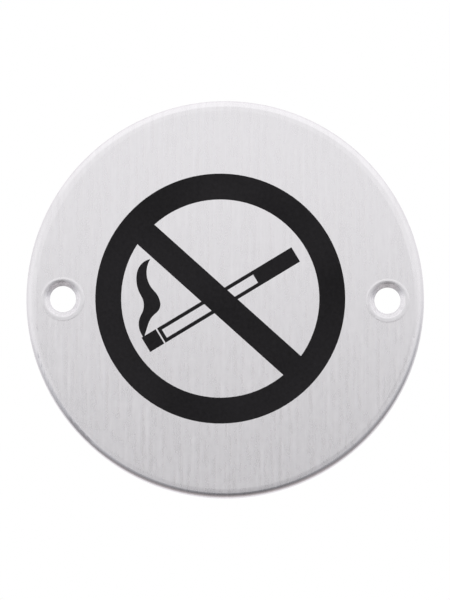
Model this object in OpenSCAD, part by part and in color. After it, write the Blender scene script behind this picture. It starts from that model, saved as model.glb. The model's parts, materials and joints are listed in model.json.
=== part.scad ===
// Round no smoking sign for a door or a wall.
// A satin steel disc with a rounded shoulder and two countersunk screw holes
// carries the symbol as a black enamel infill in a shallow etched recess.
// The sign stands upright: its back lies on the plane y = 0 and its face looks
// along -Y, with +Z up and the origin in the middle of the back.

/* [Plate] */
// Diameter of the disc
plate_d = 76; // [73:0.5:100]
// Thickness of the steel sheet
plate_t = 1.5; // [1:0.1:2]
// Width of the gentle roll-over where the shoulder leaves the face
rollover_w = 0.8; // [0.5:0.05:1]
// Radius of the roll-over
rollover_r = 4; // [3:0.1:6]
// Radius of the rounded shoulder beyond the roll-over
shoulder_r = 1.5; // [1.3:0.05:2.2]
// Height of the straight edge left below the rounded shoulder
edge_land = 0.25; // [0.2:0.05:0.5]
// Chamfer of the back edge
back_chamfer = 0.12; // [0.05:0.01:0.18]

/* [Screw holes] */
// Distance of a hole's centre from the edge of the disc
hole_inset = 7; // [6.5:0.1:8]
// Diameter of a hole
hole_d = 5; // [3.5:0.1:5.5]
// Diameter of the countersink where its cone would meet the top of its lip
countersink_d = 7; // [6.5:0.1:8]
// Height of the straight wall left at the back of a hole
hole_land = 0.6; // [0.4:0.05:0.7]
// Radius that softens the countersink's rim
rim_r = 0.9; // [0.4:0.05:1]
// Height of the faint lip that pressing the countersink raises round it
lip_h = 0.03; // [0.02:0.01:0.05]
// Width of that lip, from its crest outwards
lip_w = 0.35; // [0.3:0.05:0.5]

/* [Recess] */
// Depth of the etched recess
recess_depth = 0.2; // [0.15:0.05:0.4]
// How far the enamel stays below the face
enamel_drop = 0.03; // [0.01:0.01:0.1]

/* [Prohibition ring] */
// Outer diameter of the ring
ring_d = 47.7; // [45:0.1:50]
// Width of the ring's band
ring_w = 4.95; // [3.5:0.05:6]
// Width of the diagonal bar
bar_w = 4.95; // [3.5:0.05:6]
// Slope of the bar, falling to the right
bar_angle = 41.6; // [36:0.1:46]
// Distance of the bar's centre line from the ring's centre, to the lower left
bar_offset = 0.36; // [0:0.01:0.8]
// Place of the ring's centre to the right of the disc's centre
symbol_x = -0.94; // [-1.5:0.01:1.5]
// Place of the ring's centre above the disc's centre
symbol_z = 0.25; // [-1.5:0.01:1.5]

/* [Cigarette] */
// Width of the cigarette
cigarette_w = 3.2; // [2.4:0.1:4.2]
// Slope of the cigarette, rising to the right
cigarette_angle = 31.4; // [27:0.1:36]
// Gap between the ends of the cigarette and the ring
cigarette_gap = 2.2; // [1.5:0.1:3]
// Place of the cigarette's middle to the right of the ring's centre
cigarette_x = 0.1; // [-0.5:0.05:0.5]
// Place of the cigarette's middle above the ring's centre
cigarette_z = -0.2; // [-0.5:0.05:0.5]
// Width of the line round the paper
line_w = 0.7; // [0.4:0.05:0.9]
// Length of the filter
filter_l = 8.95; // [6:0.05:11]
// Length of the ember
ember_l = 3.15; // [2:0.05:4.5]
// Width of the bare steel between the ember and the paper
ember_gap = 0.28; // [0.2:0.01:0.6]

/* [Smoke] */
// Distance of the smoke's root from the outer end of the ember
smoke_inset = 0.62; // [0.5:0.01:0.8]
// Bare steel between the tip of the smoke and the bar
smoke_gap = 0.45; // [0.3:0.05:1.5]

/* [Hidden] */
$fn = 180;

// Cuts run past the surfaces that they open by this much
spill = 1;
// Cuts that meet along an edge overlap by this much
lap = 0.1;
// Angle at which the disc's rounded edge leaves the face, as brushing leaves it
crease = 1.5;
// The same angle on the smaller radius of a countersink's rim
rim_crease = 2.5;
// The curved outline of the smoke takes one chord for about this many degrees
chord_angle = 6;

plate_r = plate_d / 2;
// Tilts of the surface where the roll-over ends and where the shoulder goes on
rollover_end = asin(sin(crease) + rollover_w / rollover_r);
shoulder_start = rollover_end + crease;
rollover_h = rollover_r * (cos(crease) - cos(rollover_end));
// The shoulder runs down to the straight edge, but never past upright
steepest = 80;
shoulder_h = min(plate_t - edge_land - rollover_h,
    shoulder_r * (cos(shoulder_start) - cos(steepest)));
shoulder_end = acos(cos(shoulder_start) - shoulder_h / shoulder_r);
shoulder_w = shoulder_r * (sin(shoulder_end) - sin(shoulder_start));
hole_r = hole_d / 2;
hole_x = plate_r - hole_inset;
cone_r = countersink_d / 2;
lip_top = plate_t + lip_h;
cone_slope = atan2(lip_top - hole_land, cone_r - hole_r);
// The rim's arc has its middle in the steel, a hair short of touching both sides
rim_reach = rim_r * cos(rim_crease);
rim_run = rim_reach * tan(cone_slope / 2);
crest_r = cone_r + rim_run;
enamel_t = recess_depth - enamel_drop;

ring_r = ring_d / 2;
opening_r = ring_r - ring_w;
cigarette_l = 2 * (opening_r - cigarette_gap);
paper_l = cigarette_l - ember_l - ember_gap;
window_l = paper_l - filter_l - line_w;
window_w = cigarette_w - 2 * line_w;

// The smoke is drawn downwards from its tip: its two edges are runs of arcs
// that flow into each other, each given as [radius, turn], a left turn positive
smoke_tip = [1.09, 14.81];
left_heading = 192;
left_arcs = [[3.3, 66], [6.2, 44], [3.4, -62], [3.8, 59]];
left_tail = 0.9;
right_heading = 239;
right_arcs = [[5, 76], [4.4, -32], [2.1, -66], [4.2, 36]];
right_tail = 2.6;

// Places on the symbol, measured from the ring's centre
function along(angle) = [cos(angle), sin(angle)];
function across(angle) = [-sin(angle), cos(angle)];
function on_cigarette(u, v) = [cigarette_x, cigarette_z]
    + u * along(cigarette_angle) + v * across(cigarette_angle);

// The smoke grows until its tip lies smoke_gap below the bar
smoke_root = on_cigarette(smoke_inset - cigarette_l / 2, cigarette_w / 2);
bar_normal = -across(-bar_angle);
smoke_reach = bar_offset + bar_w / 2 + smoke_gap;
smoke_size = (smoke_reach - bar_normal * smoke_root) / (bar_normal * smoke_tip);

// Runs of arcs
function side(turn) = turn < 0 ? -1 : 1;
function arc_centre(start, heading, arc) =
    start + side(arc[1]) * arc[0] * across(heading);
function arc_point(start, heading, arc, part) =
    arc_centre(start, heading, arc)
    - side(arc[1]) * arc[0] * across(heading + part * arc[1]);
function arc_points(start, heading, arc) =
    let (chords = ceil(abs(arc[1]) / chord_angle))
    [for (i = [1 : chords]) arc_point(start, heading, arc, i / chords)];
function run_of_arcs(start, heading, arcs, tail, i = 0) =
    i == len(arcs)
    ? [start + tail * along(heading)]
    : concat(
        arc_points(start, heading, arcs[i]),
        run_of_arcs(arc_point(start, heading, arcs[i], 1),
            heading + arcs[i][1], arcs, tail, i + 1));
function backwards(points) = [for (i = [len(points) - 1 : -1 : 0]) points[i]];

// Turns a flat drawing with its depth along +Z into the upright sign
module upright() {
    rotate([90, 0, 0])
        children();
}

module in_symbol_frame() {
    translate([symbol_x, symbol_z])
        children();
}

module in_cigarette_frame() {
    translate([cigarette_x, cigarette_z])
        rotate(cigarette_angle)
            children();
}

// Half of the disc's section: the edge falls away in two arcs
module plate_section() {
    face_end = [plate_r - shoulder_w - rollover_w, plate_t];
    turn = [plate_r - shoulder_w, plate_t - rollover_h];
    difference() {
        polygon([
            [0, 0],
            [plate_r - back_chamfer, 0],
            [plate_r, back_chamfer],
            [plate_r, plate_t],
            [0, plate_t]
        ]);
        above_arc(face_end, rollover_r, crease, rollover_h);
        above_arc(turn - [lap, 0], shoulder_r, shoulder_start, shoulder_h, lap);
    }
}

// Air over an arc that starts at this place and tilt and falls by this much
module above_arc(start, r, tilt, fall, inset = 0) {
    difference() {
        translate(start - [0, fall + lap])
            square([plate_r, plate_t]);
        translate(start + [inset, 0] - r * [sin(tilt), cos(tilt)])
            circle(r);
    }
}

// The faint lip round a countersink, as a section that dips into the plate
module lip_section() {
    arc_r = (lip_w * lip_w + lip_h * lip_h) / (2 * lip_h);
    intersection() {
        translate([hole_r, plate_t - lap])
            square([cone_r, lip_h + 2 * lap]);
        translate([crest_r, lip_top - arc_r])
            circle(arc_r);
    }
}

// Air in a screw hole, as a section: straight wall, cone and softened rim
module screw_hole_section() {
    crest = [crest_r, lip_top];
    cone_end = [cone_r, lip_top] - rim_run * along(cone_slope);
    rim_middle = crest - [0, rim_reach];
    difference() {
        polygon([
            [0, -spill],
            [hole_r, -spill],
            [hole_r, hole_land],
            cone_end,
            rim_middle,
            crest,
            crest + [0, spill],
            [0, lip_top + spill]
        ]);
        translate(rim_middle)
            circle(rim_r);
    }
}

// Puts what it is given at both screw holes
module at_screw_holes() {
    for (x = [-hole_x, hole_x])
        translate([x, 0, 0])
            children();
}

module ring() {
    difference() {
        circle(ring_r);
        circle(opening_r);
    }
}

module bar() {
    intersection() {
        circle(ring_r - ring_w / 2);
        rotate(-bar_angle)
            translate([0, -bar_offset])
                square([ring_d, bar_w], center = true);
    }
}

// Outlined paper with the solid filter at its right end
module paper_and_filter() {
    paper_start = ember_l + ember_gap - cigarette_l / 2;
    in_cigarette_frame()
        difference() {
            translate([paper_start, -cigarette_w / 2])
                square([paper_l, cigarette_w]);
            translate([paper_start + line_w, -window_w / 2])
                square([window_l, window_w]);
        }
}

module ember() {
    in_cigarette_frame()
        translate([-cigarette_l / 2, -cigarette_w / 2])
            square([ember_l, cigarette_w]);
}

module smoke() {
    left_edge = run_of_arcs(smoke_tip, left_heading, left_arcs, left_tail);
    right_edge = run_of_arcs(smoke_tip, right_heading, right_arcs, right_tail);
    translate(smoke_root)
        scale(smoke_size)
            polygon(concat([smoke_tip], left_edge, backwards(right_edge)));
}

// The black fields of the symbol
module symbol() {
    in_symbol_frame() {
        ring();
        bar();
        paper_and_filter();
        ember();
        smoke();
    }
}

module sign_plate() {
    color("silver")
        upright()
            difference() {
                union() {
                    rotate_extrude()
                        plate_section();
                    at_screw_holes()
                        rotate_extrude()
                            lip_section();
                }
                at_screw_holes()
                    rotate_extrude()
                        screw_hole_section();
                translate([0, 0, plate_t - recess_depth])
                    linear_extrude(height = recess_depth + spill)
                        symbol();
            }
}

module symbol_enamel() {
    color("black")
        upright()
            translate([0, 0, plate_t - recess_depth])
                linear_extrude(height = enamel_t)
                    symbol();
}

sign_plate();
symbol_enamel();
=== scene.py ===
"""Looks and studio for the round no smoking sign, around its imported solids.

The sign hangs in the air of a white studio: its back lies on the plane y = 0,
its face looks along -Y and +Z is up. Places and sizes in the studio are in
metres, in that frame. The finishes give theirs in millimetres, turned with MM.
"""

import json
import logging
import math
from dataclasses import dataclass, field
from enum import Enum
from typing import Any

import bpy
from mathutils import Euler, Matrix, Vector

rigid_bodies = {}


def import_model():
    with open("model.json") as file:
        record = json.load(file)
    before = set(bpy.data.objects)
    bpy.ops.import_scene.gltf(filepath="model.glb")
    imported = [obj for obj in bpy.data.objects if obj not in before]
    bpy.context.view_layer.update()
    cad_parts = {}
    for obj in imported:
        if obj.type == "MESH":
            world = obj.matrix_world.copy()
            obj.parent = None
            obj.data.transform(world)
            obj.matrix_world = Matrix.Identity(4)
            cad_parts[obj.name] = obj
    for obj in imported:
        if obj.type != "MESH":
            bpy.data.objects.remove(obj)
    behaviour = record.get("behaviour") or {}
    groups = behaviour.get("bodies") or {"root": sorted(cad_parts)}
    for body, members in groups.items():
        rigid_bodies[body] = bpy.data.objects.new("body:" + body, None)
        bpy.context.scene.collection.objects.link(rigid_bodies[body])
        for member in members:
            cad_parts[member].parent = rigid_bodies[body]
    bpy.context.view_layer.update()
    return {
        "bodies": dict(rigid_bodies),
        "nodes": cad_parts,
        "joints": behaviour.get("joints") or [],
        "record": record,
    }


LOG = logging.getLogger("sign")
MM = 0.001

Vec3 = tuple[float, float, float]
Colour = tuple[float, float, float, float]
# Where a mask starts and where it is whole
Fade = tuple[float, float]
Tree = bpy.types.NodeTree
Socket = bpy.types.NodeSocket


class Slot(Enum):
    """The record's material slots."""

    SATIN_STEEL = "satin_steel"
    BLACK_ENAMEL = "black_enamel"


class Ray(Enum):
    """The kinds of ray that see the ground or the surround, not the plain fill."""

    CAMERA = "Is Camera Ray"
    GLOSSY = "Is Glossy Ray"
    TRANSMISSION = "Is Transmission Ray"


def linear(hex_code: str) -> Colour:
    """Turns an sRGB hex colour into linear light.

    Args:
        hex_code: Six hex digits, with or without a leading hash.

    Returns:
        Red, green and blue in linear light, and an alpha of 1.
    """
    digits = hex_code.lstrip("#")
    shares = [int(digits[i:i + 2], 16) / 255 for i in (0, 2, 4)]
    red, green, blue = (
        s / 12.92 if s <= 0.04045 else ((s + 0.055) / 1.055) ** 2.4 for s in shares
    )
    return (red, green, blue, 1.0)


def add(
    tree: Tree,
    kind: str,
    settings: dict[str, Any] | None = None,
    values: dict[str | int, Any] | None = None,
    links: dict[str | int, Socket] | None = None,
) -> bpy.types.Node:
    """Adds a node with its settings, its sockets' values and its links.

    Args:
        tree: The node tree that the node joins.
        kind: The node's type, such as "ShaderNodeMath".
        settings: The node's own properties by name.
        values: Values of input sockets by name or number.
        links: Output sockets to link, by the name or number of the input.

    Returns:
        The new node.
    """
    node = tree.nodes.new(kind)
    for name, value in (settings or {}).items():
        setattr(node, name, value)
    for socket, value in (values or {}).items():
        node.inputs[socket].default_value = value
    for socket, source in (links or {}).items():
        tree.links.new(source, node.inputs[socket])
    return node


def empty_material(name: str) -> bpy.types.Material:
    """Makes a material whose node tree is still empty.

    Args:
        name: The material's name.

    Returns:
        The material.
    """
    material = bpy.data.materials.new(name)
    material.use_nodes = True
    material.node_tree.nodes.clear()
    return material


def ramp(node: bpy.types.Node, stops: list[tuple[float, Colour]]) -> bpy.types.Node:
    """Sets a colour ramp's stops.

    Args:
        node: A colour ramp node.
        stops: Places from 0 to 1 in rising order, each with its colour.

    Returns:
        The same node.
    """
    elements = node.color_ramp.elements
    while len(elements) < len(stops):
        elements.new(0.5)
    for element, (place, colour) in zip(elements, stops):
        element.position = place
        element.color = colour
    return node


@dataclass(frozen=True)
class Scratches:
    """One layer of upright scratches: their size, and its share in the relief."""

    width: float
    length: float
    share: float


@dataclass(frozen=True)
class BrushedSatinSteel:
    """Stainless steel sheet, belt brushed upright before it was stamped.

    Stainless steel is a nearly neutral grey metal. The belt leaves fine upright
    scratches, so the eye sees a soft sheen that spreads sideways, faint upright
    streaks and no clear reflection. The countersinks are pressed and cut after
    that: their cones are fresh, lighter and turned, and the lip round them is
    duller. The back keeps the flat, cloudy skin of the rolled sheet.
    """

    name: str = "stainless_steel_belt_brushed"
    streak_dark: str = "#E3E1E4"
    streak_light: str = "#EEECEF"
    cone_colour: str = "#F0EEF1"
    back_dark: str = "#CACACC"
    back_light: str = "#D4D4D5"
    anisotropy: float = 0.9
    roughness: float = 0.28
    roughness_swing: float = 0.03
    lip_roughness: float = 0.45
    cone_roughness: float = 0.25
    # How far the screw holes lie from the middle, how far the masks of the lip, its
    # crest and the cone reach from a hole's own middle, and how wide they fade out
    hole_x: float = 31.0
    lip_r: float = 4.2
    crest_r: float = 3.95
    cone_r: float = 3.5
    soft_edge: float = 0.35
    # Long scratches, short ones and mere grain. Real scratches are about 0.05 mm
    # wide; they are drawn 0.4 mm wide, because finer ones fall between the pixels
    # of a picture
    scratches: tuple[Scratches, ...] = (
        Scratches(width=0.4, length=14.0, share=0.34),
        Scratches(width=0.36, length=4.2, share=0.33),
        Scratches(width=0.42, length=1.05, share=0.33),
    )
    # The clouds of the rolled skin
    cloud: float = 7.0
    # How high scratches and clouds stand
    relief_h: float = 0.004
    relief_strength: float = 0.15
    # The face's mask by how far the surface looks backwards
    face_side: Fade = (0.5, -0.1)
    # The middle range of a noise, which is stretched to a whole tone
    noise_range: Fade = (0.3, 0.7)

    def material(self) -> bpy.types.Material:
        """Builds the steel's nodes.

        Returns:
            The material.
        """
        material = empty_material(self.name)
        tree = material.node_tree
        place = add(tree, "ShaderNodeTexCoord")
        spot = place.outputs["Object"]
        streaks = self.streaks(tree, spot)
        skin = self.skin(tree, spot)
        face = self.facing(tree, place.outputs["Normal"])
        way = self.from_hole(tree, spot)
        lip, crest, cone = (
            self.within(tree, way, face, radius)
            for radius in (self.lip_r, self.crest_r, self.cone_r)
        )
        relief = add(
            tree, "ShaderNodeMix", {"data_type": "FLOAT"}, None,
            {"Factor": face, "A": skin, "B": streaks},
        ).outputs["Result"]
        bump = add(
            tree, "ShaderNodeBump", None,
            {"Strength": self.relief_strength, "Distance": self.relief_h * MM},
            {"Height": relief},
        )
        shader = add(
            tree, "ShaderNodeBsdfPrincipled", None,
            {"Metallic": 1.0, "Anisotropic": self.anisotropy},
            {
                "Base Color": self.colour(tree, streaks, skin, face, lip),
                "Roughness": self.dullness(tree, relief, lip, cone),
                "Normal": bump.outputs["Normal"],
                "Tangent": self.spread(tree, way, crest),
            },
        )
        add(
            tree, "ShaderNodeOutputMaterial", None, None,
            {"Surface": shader.outputs["BSDF"]},
        )
        return material

    def streaks(self, tree: Tree, spot: Socket) -> Socket:
        """Adds the upright scratches of the belt, layer on layer.

        Args:
            tree: The material's nodes.
            spot: The place on the sign, in metres.

        Returns:
            The scratches' height from 0 to 1, 0.5 in the mean.
        """
        total = None
        for layer in self.scratches:
            stretched = add(
                tree, "ShaderNodeMapping", None,
                {"Scale": (1 / (layer.width * MM), 0.0, 1 / (layer.length * MM))},
                {"Vector": spot},
            )
            # A step of the noise is two widths: a light scratch and a dark one
            noise = add(
                tree, "ShaderNodeTexNoise", None,
                {"Scale": 0.5, "Detail": 1.0, "Roughness": 0.5},
                {"Vector": stretched.outputs["Vector"]},
            )
            links = {0: noise.outputs["Fac"]}
            if total is not None:
                links[2] = total
            total = add(
                tree, "ShaderNodeMath", {"operation": "MULTIPLY_ADD"},
                {1: layer.share, 2: 0.0}, links,
            ).outputs["Value"]
        low, high = self.noise_range
        tone = add(
            tree, "ShaderNodeMapRange", None,
            {"From Min": low, "From Max": high}, {"Value": total},
        )
        return tone.outputs["Result"]

    def skin(self, tree: Tree, spot: Socket) -> Socket:
        """Adds the soft clouds of the rolled sheet's skin.

        Args:
            tree: The material's nodes.
            spot: The place on the sign, in metres.

        Returns:
            The clouds' tone from 0 to 1.
        """
        clouds = add(
            tree, "ShaderNodeTexNoise", None,
            {"Scale": 1 / (self.cloud * MM), "Detail": 4.0, "Roughness": 0.65},
            {"Vector": spot},
        )
        low, high = self.noise_range
        tone = add(
            tree, "ShaderNodeMapRange", None,
            {"From Min": low, "From Max": high}, {"Value": clouds.outputs["Fac"]},
        )
        return tone.outputs["Result"]

    def facing(self, tree: Tree, normal: Socket) -> Socket:
        """Adds a mask that is 1 on the face and its shoulder and 0 on the back.

        Args:
            tree: The material's nodes.
            normal: The surface's direction in the sign's frame.

        Returns:
            The mask.
        """
        parts = add(tree, "ShaderNodeSeparateXYZ", None, None, {"Vector": normal})
        start, whole = self.face_side
        mask = add(
            tree, "ShaderNodeMapRange", {"interpolation_type": "SMOOTHSTEP"},
            {"From Min": start, "From Max": whole}, {"Value": parts.outputs["Y"]},
        )
        return mask.outputs["Result"]

    def from_hole(self, tree: Tree, spot: Socket) -> Socket:
        """Adds the way to a spot from the middle of the nearer screw hole.

        Args:
            tree: The material's nodes.
            spot: The place on the sign, in metres.

        Returns:
            That way in the plane of the face, in metres.
        """
        parts = add(tree, "ShaderNodeSeparateXYZ", None, None, {"Vector": spot})
        side = add(
            tree, "ShaderNodeMath", {"operation": "SIGN"}, None,
            {0: parts.outputs["X"]},
        )
        across = add(
            tree, "ShaderNodeMath", {"operation": "MULTIPLY_ADD"},
            {1: -self.hole_x * MM},
            {0: side.outputs["Value"], 2: parts.outputs["X"]},
        )
        way = add(
            tree, "ShaderNodeCombineXYZ", None, None,
            {"X": across.outputs["Value"], "Z": parts.outputs["Z"]},
        )
        return way.outputs["Vector"]

    def within(self, tree: Tree, way: Socket, face: Socket, radius: float) -> Socket:
        """Adds a mask of what lies near the two screw holes on the face.

        Args:
            tree: The material's nodes.
            way: The way from the nearer hole's middle, in metres.
            face: The mask of the face, which keeps the back free of this one.
            radius: How far the mask reaches, in millimetres.

        Returns:
            The mask, 1 at the holes.
        """
        distance = add(
            tree, "ShaderNodeVectorMath", {"operation": "LENGTH"}, None, {0: way}
        )
        mask = add(
            tree, "ShaderNodeMapRange", {"interpolation_type": "SMOOTHSTEP"},
            {"From Min": radius * MM, "From Max": (radius - self.soft_edge) * MM},
            {"Value": distance.outputs["Value"], "To Max": face},
        )
        return mask.outputs["Result"]

    def colour(
        self, tree: Tree, streaks: Socket, skin: Socket, face: Socket, lip: Socket
    ) -> Socket:
        """Adds the colour: streaked face, lighter countersinks and cloudy back.

        Args:
            tree: The material's nodes.
            streaks: The height of the face's scratches.
            skin: The tone of the back's clouds.
            face: The mask of the face.
            lip: The mask of the countersinks with their lips.

        Returns:
            The colour.
        """
        brushed = add(
            tree, "ShaderNodeMix", {"data_type": "RGBA"},
            {"A": linear(self.streak_dark), "B": linear(self.streak_light)},
            {"Factor": streaks},
        )
        front = add(
            tree, "ShaderNodeMix", {"data_type": "RGBA"},
            {"B": linear(self.cone_colour)},
            {"Factor": lip, "A": brushed.outputs["Result"]},
        )
        rolled = add(
            tree, "ShaderNodeMix", {"data_type": "RGBA"},
            {"A": linear(self.back_dark), "B": linear(self.back_light)},
            {"Factor": skin},
        )
        whole = add(
            tree, "ShaderNodeMix", {"data_type": "RGBA"}, None,
            {"Factor": face, "A": rolled.outputs["Result"],
             "B": front.outputs["Result"]},
        )
        return whole.outputs["Result"]

    def dullness(self, tree: Tree, relief: Socket, lip: Socket, cone: Socket) -> Socket:
        """Adds the roughness: uneven as the relief, dull lips and fresh cones.

        Args:
            tree: The material's nodes.
            relief: The height of the scratches or clouds.
            lip: The mask of the countersinks with their lips.
            cone: The mask of the cones alone.

        Returns:
            The roughness.
        """
        total = add(
            tree, "ShaderNodeMapRange", None,
            {"To Min": self.roughness - self.roughness_swing,
             "To Max": self.roughness + self.roughness_swing},
            {"Value": relief},
        ).outputs["Result"]
        for mask, change in (
            (lip, self.lip_roughness - self.roughness),
            (cone, self.cone_roughness - self.lip_roughness),
        ):
            total = add(
                tree, "ShaderNodeMath", {"operation": "MULTIPLY_ADD"},
                {1: change}, {0: mask, 2: total},
            ).outputs["Value"]
        return total

    def spread(self, tree: Tree, way: Socket, crest: Socket) -> Socket:
        """Adds the way in which highlights spread, across the scratches.

        Args:
            tree: The material's nodes.
            way: The way from the nearer hole's middle, in metres.
            crest: The mask of the countersinks up to their crests.

        Returns:
            The way: sideways on the face, and outwards on the turned cones.
        """
        outwards = add(
            tree, "ShaderNodeVectorMath", {"operation": "NORMALIZE"}, None, {0: way}
        )
        tangent = add(
            tree, "ShaderNodeMix", {"data_type": "VECTOR"},
            {"A": (1.0, 0.0, 0.0)},
            {"Factor": crest, "B": outwards.outputs["Vector"]},
        )
        return tangent.outputs["Result"]


@dataclass(frozen=True)
class MattEnamel:
    """Black enamel paint, wiped into the etched recess and baked.

    The pigment is a nearly neutral black. Matt enamel scatters what it mirrors, so
    the eye sees a soft black with no highlight, finely mottled by its filler and
    a little deeper in the wide patches where it was wiped less and lies thicker.
    """

    name: str = "enamel_paint_baked_matt"
    colour: str = "#100E11"
    thin_colour: str = "#242225"
    roughness: float = 0.62
    roughness_swing: float = 0.08
    specular: float = 0.18
    # The mottle and the pores of real paint are finer than a pixel of a picture;
    # they are drawn this coarse to show
    mottle: float = 0.7
    pore: float = 0.3
    pore_h: float = 0.006
    pore_strength: float = 0.3
    # The wiped patches, how much they count beside the mottle, and how far the
    # sum of both swings from its middle to reach a whole tone
    patch: float = 14.0
    patch_share: float = 0.8
    tone_swing: float = 0.3

    def material(self) -> bpy.types.Material:
        """Builds the enamel's nodes.

        Returns:
            The material.
        """
        material = empty_material(self.name)
        tree = material.node_tree
        spot = add(tree, "ShaderNodeTexCoord").outputs["Object"]
        mottle = add(
            tree, "ShaderNodeTexNoise", None,
            {"Scale": 1 / (self.mottle * MM), "Detail": 3.0, "Roughness": 0.7},
            {"Vector": spot},
        ).outputs["Fac"]
        pores = add(
            tree, "ShaderNodeTexNoise", None,
            {"Scale": 1 / (self.pore * MM), "Detail": 1.0}, {"Vector": spot},
        )
        colour = add(
            tree, "ShaderNodeMix", {"data_type": "RGBA"},
            {"A": linear(self.colour), "B": linear(self.thin_colour)},
            {"Factor": self.thinness(tree, spot, mottle)},
        )
        roughness = add(
            tree, "ShaderNodeMapRange", None,
            {"To Min": self.roughness - self.roughness_swing,
             "To Max": self.roughness + self.roughness_swing},
            {"Value": mottle},
        )
        bump = add(
            tree, "ShaderNodeBump", None,
            {"Strength": self.pore_strength, "Distance": self.pore_h * MM},
            {"Height": pores.outputs["Fac"]},
        )
        shader = add(
            tree, "ShaderNodeBsdfPrincipled", None,
            {"Metallic": 0.0, "IOR": 1.5, "Specular IOR Level": self.specular},
            {
                "Base Color": colour.outputs["Result"],
                "Roughness": roughness.outputs["Result"],
                "Normal": bump.outputs["Normal"],
            },
        )
        add(
            tree, "ShaderNodeOutputMaterial", None, None,
            {"Surface": shader.outputs["BSDF"]},
        )
        return material

    def thinness(self, tree: Tree, spot: Socket, mottle: Socket) -> Socket:
        """Adds how thin the paint lies: its mottle, less its wide patches.

        Args:
            tree: The material's nodes.
            spot: The place on the sign, in metres.
            mottle: The fine mottle from 0 to 1.

        Returns:
            The thinness from 0 to 1.
        """
        patches = add(
            tree, "ShaderNodeTexNoise", None,
            {"Scale": 1 / (self.patch * MM), "Detail": 1.0}, {"Vector": spot},
        )
        uneven = add(
            tree, "ShaderNodeMath", {"operation": "MULTIPLY_ADD"},
            {1: -self.patch_share}, {0: patches.outputs["Fac"], 2: mottle},
        )
        middle = 0.5 - 0.5 * self.patch_share
        tone = add(
            tree, "ShaderNodeMapRange", None,
            {"From Min": middle - self.tone_swing,
             "From Max": middle + self.tone_swing},
            {"Value": uneven.outputs["Value"]},
        )
        return tone.outputs["Result"]


@dataclass
class SignPlate:
    """The stamped steel disc with its shoulder, countersinks and recess."""

    node: str = "sign_plate"
    slot: Slot = Slot.SATIN_STEEL
    finish: BrushedSatinSteel = field(default_factory=BrushedSatinSteel)

    def dress(self, frame: dict[str, Any]) -> bpy.types.Object:
        """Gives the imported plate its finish.


        Returns:
            The plate's object.
        """
        plate = frame["nodes"][self.node]
        plate.data.materials.clear()
        plate.data.materials.append(self.finish.material())
        return plate


@dataclass
class SymbolEnamel:
    """The black fill of the recess: ring, bar, cigarette, ember and smoke."""

    node: str = "symbol_enamel"
    slot: Slot = Slot.BLACK_ENAMEL
    finish: MattEnamel = field(default_factory=MattEnamel)

    def dress(self, frame: dict[str, Any]) -> bpy.types.Object:
        """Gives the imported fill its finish.


        Returns:
            The fill's object.
        """
        fill = frame["nodes"][self.node]
        fill.data.materials.clear()
        fill.data.materials.append(self.finish.material())
        return fill


@dataclass(frozen=True)
class Softbox:
    """A lamp behind white cloth, in metres and watts, which throws soft, even light."""

    name: str
    place: Vec3
    aim: Vec3
    width: float
    depth: float
    power: float

    def hang(self) -> bpy.types.Object:
        """Hangs the lamp, out of the camera's sight.

        Returns:
            The lamp.
        """
        data = bpy.data.lights.new(self.name, "AREA")
        data.shape = "RECTANGLE"
        data.size = self.width
        data.size_y = self.depth
        data.energy = self.power
        lamp = bpy.data.objects.new(self.name, data)
        bpy.context.scene.collection.objects.link(lamp)
        lamp.location = self.place
        towards = Vector(self.aim) - Vector(self.place)
        lamp.rotation_euler = towards.to_track_quat("-Z", "Y").to_euler()
        lamp.visible_camera = False
        return lamp


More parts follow.
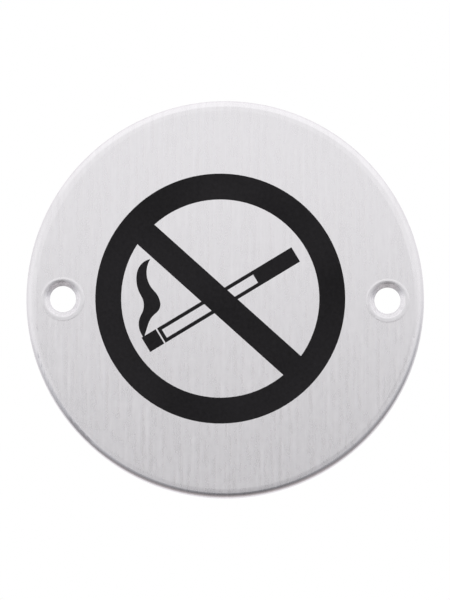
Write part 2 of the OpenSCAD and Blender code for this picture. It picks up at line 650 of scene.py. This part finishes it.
@dataclass
class Studio:
    """White ground, pale floor and soft light, most of it from above."""

    ground: str = "#FFFFFF"
    # How strongly the ground fills in the shadows
    fill: float = 0.75
    floor_z: float = -0.4
    floor_r: float = 1.5
    floor_steps: int = 64
    floor_colour: str = "#E8E8E8"
    # Shares of the floor's radius over which it fades into the white ground, and
    # how much of that white it has in the middle
    floor_fade: Fade = (0.1, 0.95)
    floor_haze: float = 0.35
    # Tone of the studio by its height in degrees, as seen at its sides: the warm
    # table, then the dark gap beyond its edge, then white cloth above the horizon
    tones: tuple[tuple[float, str], ...] = (
        (-90.0, "#D6D0CF"),
        (-46.0, "#A5A0A1"),
        (-36.0, "#989799"),
        (-26.0, "#AEAFB2"),
        (-16.0, "#CACBCE"),
        (-6.0, "#F3F3F4"),
        (10.0, "#FFFFFF"),
    )
    # The horizon sinks by this much from the sides to the front, and leans by
    # this much, higher on the right, in degrees
    sink: float = 16.0
    lean: float = 6.2
    # What the camera and its stand take from those tones, low in the middle; the
    # fades are parts of a direction: sideways, upwards and backwards
    stand: str = "#6F6D6F"
    stand_x: float = 0.06
    stand_sides: Fade = (0.175, 0.14)
    stand_top: Fade = (0.03, -0.06)
    stand_front: Fade = (-0.05, -0.5)
    # White wall behind the sign, and where the studio takes over from it
    behind: str = "#FCFAFC"
    wall_end: Fade = (0.37, 0.2)
    boxes: tuple[Softbox, ...] = (
        Softbox("overhead_softbox", place=(0.0, -0.15, 0.45), aim=(0.0, -0.15, 0.0),
                width=1.3, depth=0.9, power=0.54),
        Softbox("left_softbox", place=(-0.6, -0.2, -0.1), aim=(0.0, 0.0, 0.0),
                width=0.6, depth=0.8, power=0.11),
        Softbox("right_softbox", place=(0.6, -0.3, 0.1), aim=(0.0, 0.0, 0.0),
                width=0.5, depth=0.5, power=0.05),
    )

    def light_world(self) -> bpy.types.World:
        """Builds the world: white to the camera, the surround to what mirrors.

        Returns:
            The world.
        """
        world = bpy.data.worlds.new("studio_surround")
        bpy.context.scene.world = world
        world.use_nodes = True
        tree = world.node_tree
        tree.nodes.clear()
        mirrored = add(
            tree, "ShaderNodeBackground", None, {"Strength": 1.0},
            {"Color": self.surround(tree)},
        )
        seen, light = (
            add(
                tree, "ShaderNodeBackground", None,
                {"Color": linear(self.ground), "Strength": strength},
            )
            for strength in (1.0, self.fill)
        )
        rays = add(tree, "ShaderNodeLightPath")
        shine = add(
            tree, "ShaderNodeMath", {"operation": "MAXIMUM"}, None,
            {0: rays.outputs[Ray.GLOSSY.value], 1: rays.outputs[Ray.TRANSMISSION.value]},
        )
        lit = add(
            tree, "ShaderNodeMixShader", None, None,
            {0: shine.outputs["Value"], 1: light.outputs["Background"],
             2: mirrored.outputs["Background"]},
        )
        mixed = add(
            tree, "ShaderNodeMixShader", None, None,
            {0: rays.outputs[Ray.CAMERA.value], 1: lit.outputs["Shader"],
             2: seen.outputs["Background"]},
        )
        add(
            tree, "ShaderNodeOutputWorld", None, None,
            {"Surface": mixed.outputs["Shader"]},
        )
        return world

    def surround(self, tree: Tree) -> Socket:
        """Adds what the steel mirrors: the studio, its stand and the wall behind.

        Args:
            tree: The world's nodes.

        Returns:
            The colour in each direction.
        """
        direction = add(tree, "ShaderNodeTexCoord").outputs["Generated"]
        upright = add(
            tree, "ShaderNodeSeparateXYZ", None, None, {"Vector": direction}
        )
        aside = add(
            tree, "ShaderNodeMath", {"operation": "SUBTRACT"}, {1: self.stand_x},
            {0: upright.outputs["X"]},
        )
        apart = add(
            tree, "ShaderNodeMath", {"operation": "ABSOLUTE"}, None,
            {0: aside.outputs["Value"]},
        )
        beside, below, ahead, before = (
            add(
                tree, "ShaderNodeMapRange", {"interpolation_type": "SMOOTHSTEP"},
                {"From Min": start, "From Max": whole}, {"Value": way},
            ).outputs["Result"]
            for way, (start, whole) in (
                (apart.outputs["Value"], self.stand_sides),
                (upright.outputs["Z"], self.stand_top),
                (upright.outputs["Y"], self.stand_front),
                (upright.outputs["Y"], self.wall_end),
            )
        )
        low = add(
            tree, "ShaderNodeMath", {"operation": "MULTIPLY"}, None,
            {0: beside, 1: below},
        )
        standing = add(
            tree, "ShaderNodeMath", {"operation": "MULTIPLY"}, None,
            {0: low.outputs["Value"], 1: ahead},
        )
        hidden = add(
            tree, "ShaderNodeMix", {"data_type": "RGBA", "blend_type": "MULTIPLY"},
            {"B": linear(self.stand)},
            {"Factor": standing.outputs["Value"], "A": self.room(tree, direction)},
        )
        whole_round = add(
            tree, "ShaderNodeMix", {"data_type": "RGBA"},
            {"A": linear(self.behind)},
            {"Factor": before, "B": hidden.outputs["Result"]},
        )
        return whole_round.outputs["Result"]

    def room(self, tree: Tree, direction: Socket) -> Socket:
        """Adds the studio's tones by height over its sunk and leaning horizon.

        Args:
            tree: The world's nodes.
            direction: The direction of a ray.

        Returns:
            The tone in each direction.
        """
        leaning = add(
            tree, "ShaderNodeMapping", None,
            {"Rotation": (math.radians(-self.sink), math.radians(self.lean), 0.0)},
            {"Vector": direction},
        )
        parts = add(
            tree, "ShaderNodeSeparateXYZ", None, None,
            {"Vector": leaning.outputs["Vector"]},
        )
        height = add(
            tree, "ShaderNodeMath", {"operation": "ARCSINE"}, None,
            {0: parts.outputs["Z"]},
        )
        level = add(
            tree, "ShaderNodeMapRange", None,
            {"From Min": -math.pi / 2, "From Max": math.pi / 2},
            {"Value": height.outputs["Value"]},
        )
        tone = ramp(
            add(tree, "ShaderNodeValToRGB", None, None,
                {"Fac": level.outputs["Result"]}),
            [((degrees + 90) / 180, linear(tone)) for degrees, tone in self.tones],
        )
        return tone.outputs["Color"]

    def lay_floor(self) -> bpy.types.Object:
        """Lays the pale floor, which keeps the sign's soft shadow.

        Returns:
            The floor.
        """
        turn = 2 * math.pi / self.floor_steps
        rim = [
            (self.floor_r * math.cos(i * turn), self.floor_r * math.sin(i * turn), 0.0)
            for i in range(self.floor_steps)
        ]
        mesh = bpy.data.meshes.new("studio_floor")
        mesh.from_pydata(rim, [], [tuple(range(self.floor_steps))])
        floor = bpy.data.objects.new("studio_floor", mesh)
        bpy.context.scene.collection.objects.link(floor)
        floor.location = (0.0, 0.0, self.floor_z)
        # The steel mirrors the studio's surround through the floor
        floor.visible_glossy = False
        floor.visible_transmission = False
        mesh.materials.append(self.floor_material())
        return floor

    def floor_material(self) -> bpy.types.Material:
        """Builds the floor's pale matt paper, which fades into the white ground.

        Returns:
            The material.
        """
        material = empty_material("paper_roll_matt")
        tree = material.node_tree
        paper = add(
            tree, "ShaderNodeBsdfDiffuse", None, {"Color": linear(self.floor_colour)}
        )
        white = add(
            tree, "ShaderNodeEmission", None,
            {"Color": linear(self.ground), "Strength": 1.0},
        )
        spot = add(tree, "ShaderNodeTexCoord").outputs["Object"]
        distance = add(
            tree, "ShaderNodeVectorMath", {"operation": "LENGTH"}, None, {0: spot}
        )
        start, whole = self.floor_fade
        fade = add(
            tree, "ShaderNodeMapRange", {"interpolation_type": "SMOOTHSTEP"},
            {"From Min": start * self.floor_r, "From Max": whole * self.floor_r,
             "To Min": self.floor_haze},
            {"Value": distance.outputs["Value"]},
        )
        rays = add(tree, "ShaderNodeLightPath")
        share = add(
            tree, "ShaderNodeMath", {"operation": "MULTIPLY"}, None,
            {0: rays.outputs[Ray.CAMERA.value], 1: fade.outputs["Result"]},
        )
        mixed = add(
            tree, "ShaderNodeMixShader", None, None,
            {0: share.outputs["Value"], 1: paper.outputs["BSDF"],
             2: white.outputs["Emission"]},
        )
        add(
            tree, "ShaderNodeOutputMaterial", None, None,
            {"Surface": mixed.outputs["Shader"]},
        )
        return material


@dataclass
class PhotoCamera:
    """The photograph's camera, straight in front of the sign."""

    picture_h_px: int = 600
    px_per_mm: float = 5.242
    distance: float = 0.6
    face_y: float = -1.5 * MM
    sensor: float = 36.0
    # In the picture, the sign's middle lies this far to the right of the centre and
    # above it, and the sign is turned by this many degrees
    right_px: float = 0.20
    up_px: float = 0.09
    roll: float = 0.28
    clip_start: float = 0.01
    clip_end: float = 20.0

    def place(self) -> bpy.types.Object:
        """Places the camera, so that the sign fills the frame as photographed.

        Returns:
            The camera.
        """
        frame_h = self.picture_h_px / self.px_per_mm * MM
        data = bpy.data.cameras.new("photo_camera")
        data.sensor_fit = "AUTO"
        data.sensor_width = self.sensor
        data.lens = self.sensor * self.distance / frame_h
        data.clip_start = self.clip_start
        data.clip_end = self.clip_end
        camera = bpy.data.objects.new("photo_camera", data)
        bpy.context.scene.collection.objects.link(camera)
        camera.location = (
            -self.right_px / self.px_per_mm * MM,
            self.face_y - self.distance,
            -self.up_px / self.px_per_mm * MM,
        )
        camera.rotation_euler = Euler((math.pi / 2, -math.radians(self.roll), 0.0))
        bpy.context.scene.camera = camera
        return camera


def main() -> None:
    """Dresses the sign's pieces, then sets up the studio and the camera."""
    logging.basicConfig(level=logging.INFO, format="%(name)s: %(message)s")
    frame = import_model()

    camera = PhotoCamera().place()
    LOG.info("camera at %s, lens %.1f mm", tuple(camera.location), camera.data.lens)
    for piece in (SignPlate(), SymbolEnamel()):
        dressed = piece.dress(frame)
        LOG.info("%s: %d faces, %s", dressed.name, len(dressed.data.polygons),
                 dressed.data.materials[0].name)
    studio = Studio()
    lamps = [box.hang() for box in studio.boxes]
    for staged in (studio.light_world(), studio.lay_floor(), *lamps):
        LOG.info("studio: %s", staged.name)

    bpy.context.scene.view_settings.view_transform = "Standard"


if __name__ == "__main__":
    main()
